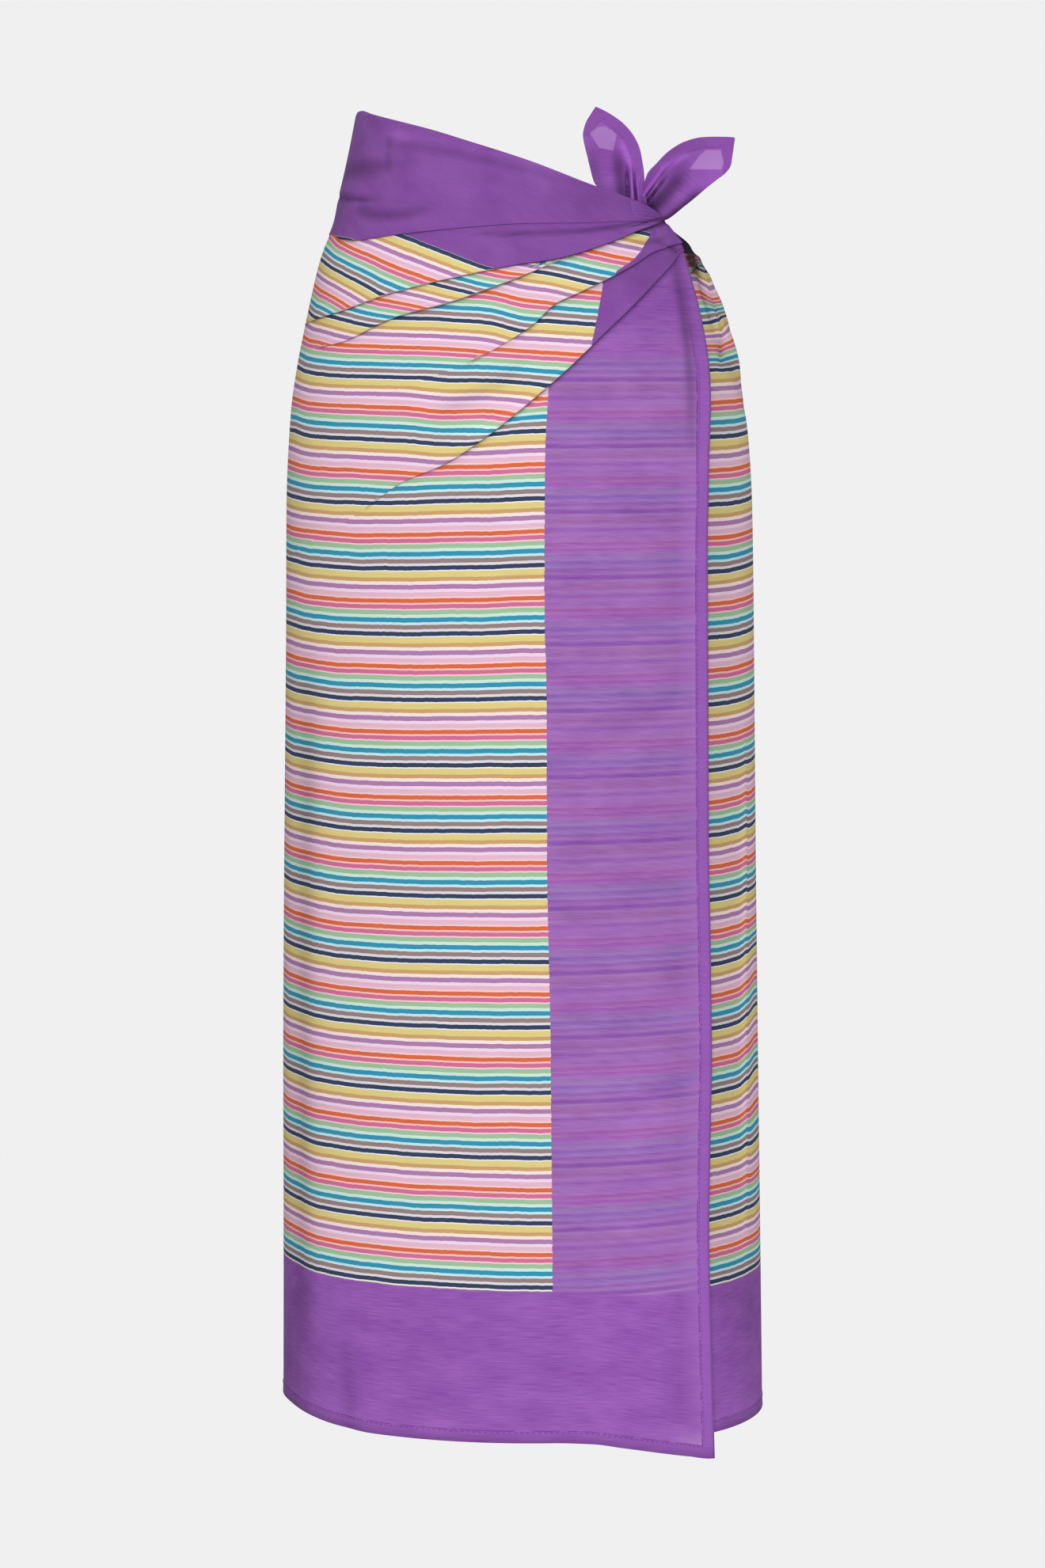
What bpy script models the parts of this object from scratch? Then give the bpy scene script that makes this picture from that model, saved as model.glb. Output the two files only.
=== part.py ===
"""A wrap skirt: one oblong of striped voile with a plain border, wound round a hollow figure and tied
in a small knot with two ears at the wearer's left hip. Metres, +Z up, and the front faces -Y.
The origin is the centre of the waist opening. Angles are degrees round the figure, 0 at the front,
positive towards the wearer's left, and they run on past -180 where the cloth winds round the back."""

import math
from collections import namedtuple

import bpy
from mathutils import Vector

MM = 0.001
COLLECTION = "wrap_skirt"

# Cloth
WALL = 1.5 * MM
SEAM = 0.6 * MM
SEAM_ANGLE = 0.12
LAYER = 2.6 * MM
OUTER_UNTIL = -52
OUTER_GONE = -86
SECTOR = 6.0
ROW_CROWDING = 1.7

# The hollow general figure: one row for each height, all in millimetres
Section = namedtuple("Section", "height half_width front back shift")
SECTIONS = (
    Section(-1005, 195.2, 141, 143, 1.5),
    Section(-830, 193.0, 138, 141, 0.7),
    Section(-670, 190.4, 135, 139, 0.4),
    Section(-516, 188.2, 132, 138, 0.0),
    Section(-364, 186.0, 130, 138, 0.0),
    Section(-250, 184.4, 128, 137, -0.5),
    Section(-176, 179.9, 123, 132, -1.2),
    Section(-139, 174.7, 119, 127, -1.4),
    Section(-102, 166.8, 113, 120, -2.1),
    Section(-64, 156.5, 107, 111, -3.5),
    Section(-40, 148.5, 103, 106, -4.0),
    Section(-15, 140.5, 99, 101, -4.0),
    Section(22, 131.5, 95, 96, -4.0),
    Section(62, 123.5, 92, 92, -4.0),
)

# Lines round the figure: the angle in degrees, and the height and the lip in millimetres.
# The lip is how far a fold stands out over the cloth below it.
Spot = namedtuple("Spot", "angle height lip")
RIM = (
    Spot(52, -28, 0), Spot(40, -13, 0), Spot(25, -2, 0), Spot(4, 17, 0), Spot(-12, 29, 0),
    Spot(-32, 42, 0), Spot(-60, 54, 0), Spot(-90, 60, 0), Spot(-110, 56, 0), Spot(-135, 42, 0),
    Spot(-180, 7, 0), Spot(-225, -34, 0), Spot(-250, -51, 0), Spot(-270, -58, 0),
    Spot(-290, -56, 0), Spot(-294, -49, 0), Spot(-307, -32, 0),
)
BAND_FOLD = (
    Spot(52, -28, 3), Spot(38, -29, 3), Spot(20, -30.5, 3), Spot(4, -31, 3), Spot(-19, -35, 3),
    Spot(-37, -39, 3), Spot(-59, -43, 3), Spot(-90, -42, 3), Spot(-110, -45, 3), Spot(-135, -52, 3),
    Spot(-180, -68, 3), Spot(-225, -80, 3), Spot(-250, -77, 0.5), Spot(-270, -68, 0),
    Spot(-290, -66, 0), Spot(-294, -60, 0), Spot(-307, -46, 0),
)
UPPER_PLEAT = (
    Spot(52, -28, 4), Spot(37.5, -37, 4), Spot(28, -45, 4), Spot(11, -58, 3.5), Spot(1, -62, 3),
    Spot(-17, -72, 3), Spot(-37, -85, 3), Spot(-53, -97, 2.5), Spot(-67, -103, 2), Spot(-90, -108, 0),
)
NARROW_PLEAT = (
    Spot(52, -28, 4), Spot(37.5, -37, 4), Spot(28, -45, 4), Spot(11, -60.5, 4), Spot(-2, -75, 4),
    Spot(-18, -91, 3.5), Spot(-33, -102, 3), Spot(-51, -121, 2), Spot(-64, -126, 0), Spot(-90, -140, 0),
)
MIDDLE_PLEAT = (
    Spot(56, -45, 3), Spot(43, -52, 3), Spot(35, -61.5, 3), Spot(17, -83, 3), Spot(10, -92, 3),
    Spot(3, -110, 2.5), Spot(-15, -140, 0), Spot(-40, -165, 0), Spot(-66, -185, 0), Spot(-90, -200, 0),
)
LOWER_PLEAT = (
    Spot(56, -51, 4), Spot(43.5, -70, 4), Spot(24, -110, 4), Spot(8, -152, 4), Spot(-9, -196, 3),
    Spot(-18, -214, 2.5), Spot(-28, -227, 1.5), Spot(-42, -253, 0), Spot(-60, -275, 0),
    Spot(-90, -300, 0),
)
FIELD_FOOT = (Spot(60, -852.5, 0), Spot(-420, -852.5, 0))
HEM = (
    Spot(60, -999, 0), Spot(50, -998, 0), Spot(41, -992, 0), Spot(23, -979, 0), Spot(16, -974.5, 0),
    Spot(7, -972.5, 0), Spot(-20, -972, 0), Spot(-270, -976, 0), Spot(-310, -978, 0),
    Spot(-325, -975, 0), Spot(-345, -967, 0), Spot(-420, -966, 0),
)
UNDER_TOP = (Spot(-307, -52, 0), Spot(-330, -72, 0), Spot(-350, -88, 0), Spot(-420, -150, 0))

# Edges that run up and down: the height in millimetres and the angle in degrees
Edge = namedtuple("Edge", "height angle")
FREE_EDGE = (
    Edge(-20, 50.5), Edge(-28, 51.4), Edge(-47, 57), Edge(-90, 57.2), Edge(-132, 55.3),
    Edge(-224, 52), Edge(-285, 50.5), Edge(-469, 49.9), Edge(-780, 48.7), Edge(-907, 49.5),
    Edge(-1005, 50.3),
)
FIELD_EDGE = (Edge(-40, 8.5), Edge(-152, 7.9), Edge(-222, 6.5), Edge(-464, 6.1), Edge(-852, 6.3))
UNDER_EDGE = (Edge(-60, -368), Edge(-200, -385), Edge(-500, -402), Edge(-976, -410))
KNOT_START = (Edge(0, 40),)
RIGHT_SIDE = (Edge(0, -90),)
BACK_START = (Edge(0, -165),)
HIP_START = (Edge(0, -240),)
HIP_KNOT = (Edge(0, -306),)
UNDER_START = (Edge(0, -318),)

# Stretches of the one cloth, from the free edge round to the hidden one
Stretch = namedtuple("Stretch", "name cloth top bottom near far rows")
STRETCHES = (
    Stretch("front_waist_band", "plain", RIM, BAND_FOLD, KNOT_START, RIGHT_SIDE, 6),
    Stretch("upper_pleat", "striped", BAND_FOLD, UPPER_PLEAT, KNOT_START, RIGHT_SIDE, 5),
    Stretch("narrow_pleat", "striped", UPPER_PLEAT, NARROW_PLEAT, (Edge(0, 10),), RIGHT_SIDE, 3),
    Stretch("middle_pleat", "striped", NARROW_PLEAT, MIDDLE_PLEAT, FREE_EDGE, RIGHT_SIDE, 5),
    Stretch("lower_pleat", "striped", MIDDLE_PLEAT, LOWER_PLEAT, FREE_EDGE, RIGHT_SIDE, 5),
    Stretch("side_border", "plain", LOWER_PLEAT, FIELD_FOOT, FREE_EDGE, FIELD_EDGE, 12),
    Stretch("front_panel", "striped", LOWER_PLEAT, FIELD_FOOT, FIELD_EDGE, RIGHT_SIDE, 10),
    Stretch("front_bottom_border", "plain", FIELD_FOOT, HEM, FREE_EDGE, RIGHT_SIDE, 2),
    Stretch("right_waist_band", "plain", RIM, BAND_FOLD, RIGHT_SIDE, BACK_START, 5),
    Stretch("right_panel", "striped", BAND_FOLD, FIELD_FOOT, RIGHT_SIDE, BACK_START, 14),
    Stretch("right_bottom_border", "plain", FIELD_FOOT, HEM, RIGHT_SIDE, BACK_START, 2),
    Stretch("back_waist_band", "plain", RIM, BAND_FOLD, BACK_START, HIP_START, 4),
    Stretch("back_panel", "striped", BAND_FOLD, FIELD_FOOT, BACK_START, HIP_START, 14),
    Stretch("back_bottom_border", "plain", FIELD_FOOT, HEM, BACK_START, HIP_START, 2),
    Stretch("hip_waist_band", "plain", RIM, BAND_FOLD, HIP_START, HIP_KNOT, 4),
    Stretch("hip_panel", "striped", BAND_FOLD, FIELD_FOOT, HIP_START, UNDER_START, 16),
    Stretch("hip_bottom_border", "plain", FIELD_FOOT, HEM, HIP_START, UNDER_START, 2),
    Stretch("under_panel", "striped", UNDER_TOP, FIELD_FOOT, UNDER_START, UNDER_EDGE, 12),
    Stretch("under_bottom_border", "plain", FIELD_FOOT, HEM, UNDER_START, UNDER_EDGE, 2),
)

# Gathers that run from the knot round the wearer's left hip: soft ridges, in degrees and millimetres
Gather = namedtuple("Gather", "near_angle near_height far_angle far_height width rise")
GATHERS = (
    Gather(-300, -88, -255, -122, 8, 4.0),
    Gather(-301, -104, -258, -156, 9, 4.0),
    Gather(-302, -122, -266, -196, 11, 3.5),
)

# The knot: stations along the tapering end of the band, in degrees and millimetres
Station = namedtuple("Station", "angle height half_height half_depth lift")
KNOT = (
    Station(40.3, -24.3, 10.0, 2.0, 5.5),
    Station(43.0, -24.6, 7.4, 4.6, 6.0),
    Station(46.0, -25.6, 5.0, 4.8, 6.5),
    Station(49.0, -26.6, 2.6, 3.4, 6.5),
    Station(51.2, -27.4, 1.0, 1.4, 6.0),
)
KNOT_PLACE = (50, -28)
KNOT_RISE = 6.0 * MM
KNOT_REACH = 22 * MM
KNOT_SIDES = 12

# The ears: the outline of each, seen from the front, in millimetres from the origin.
# Each is folded in two along one side, and its two layers share one wall.
EarRow = namedtuple("EarRow", "fold_x fold_z hem_x hem_z")
INNER_EAR = (
    EarRow(89.0, -16.0, 94.6, -13.5),
    EarRow(71.0, -10.0, 95.2, -4.0),
    EarRow(57.0, -1.0, 95.5, 6.0),
    EarRow(52.3, 15.5, 94.3, 16.0),
    EarRow(49.0, 30.0, 91.5, 26.0),
    EarRow(49.0, 39.0, 86.0, 37.0),
    EarRow(53.0, 48.0, 76.0, 47.0),
    EarRow(57.6, 55.6, 61.0, 55.4),
)
OUTER_EAR = (
    EarRow(102.5, -20.0, 98.8, -13.5),
    EarRow(113.5, -24.0, 99.8, -1.0),
    EarRow(129.5, -12.5, 105.0, 13.5),
    EarRow(144.5, -0.6, 118.5, 25.5),
    EarRow(155.0, 7.0, 132.5, 32.5),
    EarRow(160.5, 15.5, 143.5, 35.3),
    EarRow(163.0, 24.5, 154.0, 35.4),
    EarRow(163.8, 31.5, 161.5, 34.5),
)
EAR_PLACE = (96.0, -73.6)
EAR_SLOPE = 0.38
EAR_CUP = 6.0
EAR_WALL = 2.6 * MM
EAR_STEPS = 10
EAR_PLEATS = 1.5
EAR_PLEAT_DEPTH = 1.0

COLOURS = {
    "plain": (0.31, 0.10, 0.46, 1.0),
    "striped": (0.72, 0.52, 0.55, 1.0),
}
ROUGHNESS = 0.85


def smooth(places, values, place):
    """A smooth curve through values at rising places, level past its ends and with no overshoot."""
    if place <= places[0]:
        return values[0]
    if place >= places[-1]:
        return values[-1]
    i = max(k for k in range(len(places) - 1) if places[k] <= place)
    gaps = [places[k + 1] - places[k] for k in range(len(places) - 1)]
    slopes = [(values[k + 1] - values[k]) / gaps[k] for k in range(len(gaps))]

    def tangent(k):
        if k in (0, len(gaps)):
            return slopes[min(k, len(gaps) - 1)]
        if slopes[k - 1] * slopes[k] <= 0:
            return 0.0
        return 2 * slopes[k - 1] * slopes[k] / (slopes[k - 1] + slopes[k])

    t = (place - places[i]) / gaps[i]
    start = (1 + 2 * t) * (1 - t) ** 2 * values[i] + t * (1 - t) ** 2 * gaps[i] * tangent(i)
    end = t * t * (3 - 2 * t) * values[i + 1] + t * t * (t - 1) * gaps[i] * tangent(i + 1)
    return start + end


def column(rows, key, name, place):
    """The value of a named column of a table at a place of its key column."""
    if len(rows) == 1:
        return getattr(rows[0], name)
    rising = sorted(rows, key=lambda row: getattr(row, key))
    return smooth([getattr(r, key) for r in rising], [getattr(r, name) for r in rising], place)


def ease(low, high, value):
    """0 below low, 1 above high and a soft step between."""
    t = min(1.0, max(0.0, (value - low) / (high - low)))
    return t * t * (3 - 2 * t)


def figure_point(angle, height, lift=0.0):
    """The point of the figure's skin at an angle and a height in metres, lifted outwards."""
    sizes = {name: column(SECTIONS, "height", name, height / MM) * MM for name in Section._fields[1:]}
    turn = math.radians(angle)
    depth = sizes["front"] if math.cos(turn) > 0 else sizes["back"]
    x = sizes["shift"] + (sizes["half_width"] + lift) * math.sin(turn)
    return Vector((x, -(depth + lift) * math.cos(turn), height))


def layer_lift(angle):
    """The outer layer stands clear of the under one, and sinks to the figure at the right side."""
    return LAYER * ease(OUTER_GONE, OUTER_UNTIL, angle)


def knot_lift(angle, height):
    """The cloth rises onto the knot."""
    turned = angle + 360 if angle < -180 else angle
    across = math.radians(turned - KNOT_PLACE[0]) * column(SECTIONS, "height", "half_width", -28) * MM
    distance = math.hypot(across, height - KNOT_PLACE[1] * MM)
    share = 1.0 if angle > -180 else 0.35
    return share * KNOT_RISE * math.exp(-((distance / KNOT_REACH) ** 2))


def gather_lift(angle, height):
    """Soft ridges that fan out from the knot over the wearer's left hip."""
    total = 0.0
    for fold in GATHERS:
        share = (angle - fold.near_angle) / (fold.far_angle - fold.near_angle)
        if not 0 < share < 1:
            continue
        middle = fold.near_height + share * (fold.far_height - fold.near_height)
        width = fold.width * (0.6 + share)
        shape = math.exp(-(((height / MM - middle) / width) ** 2))
        total += fold.rise * MM * shape * ease(0, 0.15, share) * (1 - ease(0.3, 1, share))
    return total


def stretch_place(stretch, across, down):
    """The outer point of a stretch: across runs from its near edge to its far one, down to its foot."""
    height = 0.0
    for _ in range(4):
        near = column(stretch.near, "height", "angle", height / MM) - SEAM_ANGLE
        far = column(stretch.far, "height", "angle", height / MM) + SEAM_ANGLE
        angle = near + (far - near) * across
        top = column(stretch.top, "angle", "height", angle) * MM - SEAM / 2
        bottom = column(stretch.bottom, "angle", "height", angle) * MM + SEAM / 2
        height = top + (bottom - top) * down
    lip = column(stretch.bottom, "angle", "lip", angle) * MM * down * down
    lift = layer_lift(angle) + knot_lift(angle, height) + gather_lift(angle, height) + lip
    return figure_point(angle, height, lift)


def cloth_wall(name, cloth, rows, thickness, materials, collection):
    """A closed cloth wall on rows of outer points, which run down and then towards the right side."""
    points = [point for row in rows for point in row]
    width = len(rows[0])
    faces = []
    for i in range(len(rows) - 1):
        for j in range(width - 1):
            corner = i * width + j
            faces.append((corner, corner + 1, corner + width + 1, corner + width))
    mesh = bpy.data.meshes.new(name)
    mesh.from_pydata(points, [], faces)
    mesh.shade_smooth()
    mesh.materials.append(materials[cloth])
    piece = bpy.data.objects.new(name, mesh)
    collection.objects.link(piece)
    wall = piece.modifiers.new("wall", "SOLIDIFY")
    wall.thickness = thickness
    wall.offset = -1
    wall.use_rim = True
    return piece


def build_stretch(stretch, materials, collection):
    """One stretch of the wound cloth."""
    middle = column(stretch.top, "angle", "height", 0)
    turn = column(stretch.near, "height", "angle", middle) - column(stretch.far, "height", "angle", middle)
    columns = max(4, round(turn / SECTOR))
    crowding = ROW_CROWDING if stretch.bottom is FIELD_FOOT else 1.0
    rows = []
    for i in range(stretch.rows + 1):
        down = (i / stretch.rows) ** crowding
        rows.append([stretch_place(stretch, j / columns, down) for j in range(columns + 1)])
    return cloth_wall(stretch.name, stretch.cloth, rows, WALL, materials, collection)


def build_knot(materials, collection):
    """The tapering end of the band, rolled over the tie."""
    rings = []
    for station in KNOT:
        ring = []
        for k in range(KNOT_SIDES):
            turn = 2 * math.pi * k / KNOT_SIDES
            height = (station.height + station.half_height * math.cos(turn)) * MM
            lift = (station.lift + station.half_depth * math.sin(turn)) * MM
            ring.append(figure_point(station.angle, height, lift))
        rings.append(ring)
    points = [point for ring in rings for point in ring]
    faces = [tuple(reversed(range(KNOT_SIDES))), tuple(range(len(points) - KNOT_SIDES, len(points)))]
    for i in range(len(rings) - 1):
        for k in range(KNOT_SIDES):
            after = (k + 1) % KNOT_SIDES
            low = i * KNOT_SIDES
            high = low + KNOT_SIDES
            faces.append((low + k, low + after, high + after, high + k))
    mesh = bpy.data.meshes.new("knot")
    mesh.from_pydata(points, [], faces)
    mesh.shade_smooth()
    mesh.materials.append(materials["plain"])
    collection.objects.link(bpy.data.objects.new("knot", mesh))


def ear_place(row, across, along):
    """A point of an ear's front: across runs from the folded side to the hemmed one, along to the tip."""
    x = row.fold_x + (row.hem_x - row.fold_x) * across
    z = row.fold_z + (row.hem_z - row.fold_z) * across
    cup = EAR_CUP * math.sin(math.pi * across) * math.sin(math.pi * min(1.0, 0.25 + along))
    pleat = EAR_PLEAT_DEPTH * (1 - math.cos(2 * math.pi * EAR_PLEATS * across)) / 2
    pleat *= ease(0, 0.15, along) * (1 - ease(0.15, 0.6, along))
    depth = EAR_PLACE[1] + EAR_SLOPE * (x - EAR_PLACE[0]) + cup + pleat
    return Vector((x, depth, z)) * MM


def build_ear(name, outline, fold_first, materials, collection):
    """A corner of the cloth beyond the knot, folded in two."""
    rows = []
    for i, row in enumerate(outline):
        along = i / (len(outline) - 1)
        points = [ear_place(row, k / EAR_STEPS, along) for k in range(EAR_STEPS + 1)]
        rows.append(points[::-1] if fold_first else points)
    return cloth_wall(name, "plain", rows[::-1], EAR_WALL, materials, collection)


def cloth_materials():
    """A plain purple cloth and a light striped one."""
    made = {}
    for name, colour in COLOURS.items():
        material = bpy.data.materials.new(name + "_voile")
        material.use_nodes = True
        shader = material.node_tree.nodes["Principled BSDF"]
        shader.inputs["Base Color"].default_value = colour
        shader.inputs["Roughness"].default_value = ROUGHNESS
        shader.inputs["Metallic"].default_value = 0.0
        made[name] = material
    return made


def main():
    for old in list(bpy.data.objects):
        bpy.data.objects.remove(old)
    collection = bpy.data.collections.new(COLLECTION)
    bpy.context.scene.collection.children.link(collection)
    materials = cloth_materials()
    for stretch in STRETCHES:
        build_stretch(stretch, materials, collection)
    build_knot(materials, collection)
    build_ear("inner_ear", INNER_EAR, True, materials, collection)
    build_ear("outer_ear", OUTER_EAR, False, materials, collection)


main()
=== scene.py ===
"""The looks of a wrap skirt: one oblong of striped voile with a plain border, wound round a hollow
figure and tied at the wearer's left hip. Metres, +Z up, and the front faces -Y. Angles are degrees
round the figure, 0 at the front, positive towards the wearer's left, and they run on past -180."""

import math
from collections import namedtuple

import bmesh
import bpy
import numpy as np
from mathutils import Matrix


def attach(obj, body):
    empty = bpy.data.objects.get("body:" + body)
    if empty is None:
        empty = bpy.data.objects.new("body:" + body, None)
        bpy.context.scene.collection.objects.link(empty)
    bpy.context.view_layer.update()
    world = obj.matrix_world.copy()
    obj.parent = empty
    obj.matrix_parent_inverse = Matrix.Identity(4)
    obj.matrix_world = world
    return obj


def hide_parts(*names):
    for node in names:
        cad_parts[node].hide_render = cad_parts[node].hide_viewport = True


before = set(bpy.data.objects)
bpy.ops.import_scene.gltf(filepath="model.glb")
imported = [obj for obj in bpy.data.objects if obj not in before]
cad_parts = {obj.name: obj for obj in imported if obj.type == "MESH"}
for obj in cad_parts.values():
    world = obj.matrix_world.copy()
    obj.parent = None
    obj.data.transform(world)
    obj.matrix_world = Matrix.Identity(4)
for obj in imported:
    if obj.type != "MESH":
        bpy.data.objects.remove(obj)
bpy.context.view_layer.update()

scene = bpy.context.scene

MM = 0.001


def table(kind, *rows):
    """Rows of numbers as named tuples."""
    return tuple(kind(*row) for row in rows)


# The picture: the camera stands in front of the thighs and looks a little down
CAMERA_PLACE = (0.002, -3.333, -0.117)
CAMERA_TILT = 6.085
CAMERA_LENS = 96.4
BACKGROUND = (0.871, 0.871, 0.871, 1)
WORLD_LIGHT = 0.48
FLOOR_LIGHT = 0.34
KEY_LIGHT = 2.25
KEY_TILT = 74
KEY_SOFTNESS = 55
FLOOR_HEIGHT = -1.09
FLOOR_SIZE = 40.0

# The cloth. It starts at the knot as the outer of two layers, comes down onto the figure at the
# wearer's right front, and ends hidden under its own start
THICKNESS = 0.45 * MM
LAYER = 2.6 * MM
OUTER_UNTIL = -52
OUTER_GONE = -86
KNOT_ANGLE = 52
UNDER_END = -410
HEM_WIDTH = 9.4 * MM
HEM_RISE = 0.35 * MM
# Its columns: from, to and how many with both ends. Past the next two angles they lean towards the
# free edge and the hidden one.
COLUMN_RUNS = ((KNOT_ANGLE, -90, 134), (-90, -240, 50), (-240, -320, 54), (-320, UNDER_END, 16))
NEAR_FROM = 18
FAR_FROM = -325

# The hollow general figure: one row for each height, all in millimetres
Section = namedtuple("Section", "height half_width front back shift")
SECTIONS = table(
    Section,
    (-1005, 194.4, 141, 143, 2.3), (-830, 192.2, 138, 141, 1.5), (-670, 190.4, 135, 139, 0.4),
    (-516, 188.2, 132, 138, 0), (-364, 186, 130, 138, 0), (-250, 184.4, 128, 137, -0.5),
    (-176, 179.9, 123, 132, -1.2), (-139, 174.7, 119, 127, -1.4), (-102, 166.8, 113, 120, -2.1),
    (-64, 156.5, 107, 111, -3.5), (-40, 148.5, 103, 106, -4), (-15, 140.5, 99, 101, -4),
    (22, 131.5, 95, 96, -4), (62, 123.5, 92, 92, -4),
)

# Lines round the figure: the angle in degrees, and the height and the lip in millimetres.
# The lip is how far a fold stands out over the cloth below it. Above and below are how far the
# cloth's own height is ahead of a level cloth, in millimetres, on the two sides of the fold.
Spot = namedtuple("Spot", "angle height lip", defaults=[0])
Slip = namedtuple("Slip", "angle above below")
Line = namedtuple("Line", "spots slips")


def line_of(spots, slips=()):
    """A line from its rows of spots and slips. A slip of two has the same above and below."""
    return Line(table(Spot, *spots), tuple(Slip(row[0], row[1], row[-1]) for row in slips))


RIM = line_of((
    (52, -29), (50.5, -25.5), (48, -19.5), (44.5, -15), (40, -12.3), (25, -1.5), (4, 17), (-12, 29),
    (-32, 42), (-60, 54), (-72, 57.5), (-80, 57), (-88, 53.5), (-100, 52), (-112, 50), (-135, 40),
    (-180, 7), (-225, -34), (-250, -51), (-270, -58), (-290, -54), (-294, -48), (-307, -32),
), (
    (52, 130), (-57, 60), (-180, 92), (-240, 122), (-268, 80), (-290, 78), (-307, 100),
))
BAND_FOLD = line_of((
    (52, -29, 0.6), (38, -29, 0.6), (20, -30.5, 0.7), (4, -31, 0.8), (-19, -35, 1.2),
    (-37, -39, 1.8), (-55, -43, 2), (-64, -42, 1.4), (-74, -37, 0.8), (-90, -37, 0.8),
    (-110, -43, 2.4), (-135, -52, 3), (-180, -68, 3), (-225, -80, 3), (-250, -75, 1), (-270, -61),
    (-290, -55.5), (-294, -53), (-302, -52.5), (-307, -52), (-320, -60),
), (
    (52, 140, 130), (11, 118, 104), (-7, 100, 86), (-20, 90, 70), (-36, 78, 55), (-57, 58, 40),
    (-73, 56, 30), (-90, 60, 24), (-120, 75, 10), (-180, 92, 0), (-240, 112, 14), (-266, 68, 36),
    (-290, 66, 45), (-307, 100, 47), (-320, 60, 20),
))
UPPER_PLEAT = line_of((
    (52, -29, 4), (37.5, -37, 4), (28, -45, 4), (11, -58, 3.5), (1, -62, 3), (-17, -72, 3),
    (-37, -85, 3), (-53, -97, 2.5), (-67, -103, 2), (-90, -108), (-240, -108), (-276, -78),
    (-287, -62, 0.4), (-293, -62, 2), (-302, -68.5, 1.7), (-304.5, -70, 0.3), (-307, -71),
    (-312, -73),
), (
    (52, 125, 118), (11, 98, 72.5), (-7, 81, 57), (-20, 67, 45), (-38, 49, 30), (-56, 25, 17),
    (-62, 19, 14.5), (-78, 10, 8), (-90, 5), (-120, 2), (-180, 0), (-240, 4), (-274, 22),
    (-287, 36, 33), (-291.5, 39, 31), (-295, 46, 23.5), (-302, 48.6, 22.8), (-310, 49, 22),
))
NARROW_PLEAT = line_of((
    (52, -29, 4), (37.5, -37, 4), (28, -45, 4), (11, -60.5, 4), (-2, -75, 4), (-18, -91, 3.5),
    (-33, -102, 3), (-51, -121, 2), (-64, -126), (-90, -140), (-240, -140), (-282, -106),
    (-310, -106),
), (
    (52, 118, 60), (38, 100, 52.5), (21, 84, 42), (11, 72, 36), (4.7, 63, 32), (-7, 53, 23.5),
    (-18, 41, 20), (-32, 28, 17), (-51, 15, 12), (-64, 9), (-90, 2.5), (-180, 0), (-240, 0),
    (-284, 13), (-301, 20.3), (-310, 21),
))
MIDDLE_PLEAT = line_of((
    (56, -45, 1.6), (43, -52, 2), (35, -61.5, 2.4), (17, -83, 3), (10, -92, 3), (3, -110, 2.5),
    (-15, -140), (-40, -165), (-66, -185), (-90, -200), (-240, -200), (-282, -143), (-310, -143),
), (
    (55, 58, 30), (38, 50, 27), (21, 41, 23), (5, 28, 18.5), (1.3, 26.2, 17.5), (-7, 18, 14.5),
    (-15, 13.5), (-32, 9), (-62, 5.5), (-77, 1.5), (-90, 1), (-180, 0), (-240, 0), (-283, 3.5),
    (-301, 5.1), (-310, 5.3),
))
LOWER_PLEAT = line_of((
    (56, -51, 2), (43.5, -70, 2.6), (24, -110, 3.4), (8, -152, 4), (-9, -196, 3), (-18, -214, 2.5),
    (-28, -227, 1.5), (-42, -253), (-60, -275), (-90, -300),
), (
    (55, 30, 0), (24, 22, 0), (7.5, 16, 0), (-9, 9, 2), (-17, 9, 2.8), (-28, 6.5, 4), (-42, 4.5),
    (-60, 3), (-90, 0), (-240, 0), (-283, 5.2), (-302, 7.9), (-310, 8.2),
))
FIELD_FOOT = line_of(
    ((60, -852.5),), (
    (55, 20), (6.3, -0.8), (-18, -2), (-55, -2), (-76, -4), (-100, -3), (-180, 0), (-240, 0),
    (-283, 5), (-310, 6.6),
))
HEM = line_of((
    (60, -999), (50, -998), (41, -992), (23, -979), (16, -974.5), (7, -972.5), (-20, -972),
    (-40, -971.5), (-49, -970), (-61, -967.5), (-76, -965.5), (-100, -966), (-140, -970),
    (-270, -976), (-310, -978), (-325, -975), (-345, -967), (-420, -966),
))
LINES = (RIM, BAND_FOLD, UPPER_PLEAT, NARROW_PLEAT, MIDDLE_PLEAT, LOWER_PLEAT, FIELD_FOOT, HEM)
ROWS_BETWEEN = (34, 14, 9, 14, 14, 58, 12)
ROWS_CLOSER_UP = 1.25
# How often a row's angles are found anew from its heights, which depend on them
PASSES = 4
UNDER_TOP = table(Spot, (-307, -32), (-330, -72), (-350, -88), (-420, -150))
UNDER_LINE_STEP = 1.0
# The regions between the lines: the band is the first, and the skirt hangs below the last pleat
BAND = 0
SKIRT = 5

# A fold in section: shares of the tuck's height and of the lip, from the fold's front to its back
Turn = namedtuple("Turn", "rise out")
FOLD_TURNS = table(Turn, (-0.1, 0.88), (-0.14, 0.62), (-0.08, 0.38), (0.25, 0.26), (0.8, 0.2))
FOLD_TUCK = 5.0
TUCK_FOR_LIP = 2.0
TUCK_SHARE = 0.45
LIP_ROOM = 12
ROW_STEP = 0.05
# The painted shade inside a fold and just below it, from 0 to 1, and how far below it the painted shade
# reaches
TURN_SHADE = 0.8
FOLD_SHADE = 0.6
FOLD_SHADE_REACH = 2.0
# The painted shade of the folds grows between these angles, at the front and, as turns back from the front,
# at the hip.
# A fold with a full lip gets the most painted shade, and away from the knot it has only a share of it.
FOLD_SHADE_GROWS = (-45, 40)
HIP_FOLD_SHADE_GROWS = (262, 292)
FAR_FOLD_SHADE_SHARE = 0.22
FULL_LIP = 3.0
# Shade and light for a millimetre of trough and of ridge
CREASE_SHADE = 0.17
RIDGE_LIGHT = 0.07

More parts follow.
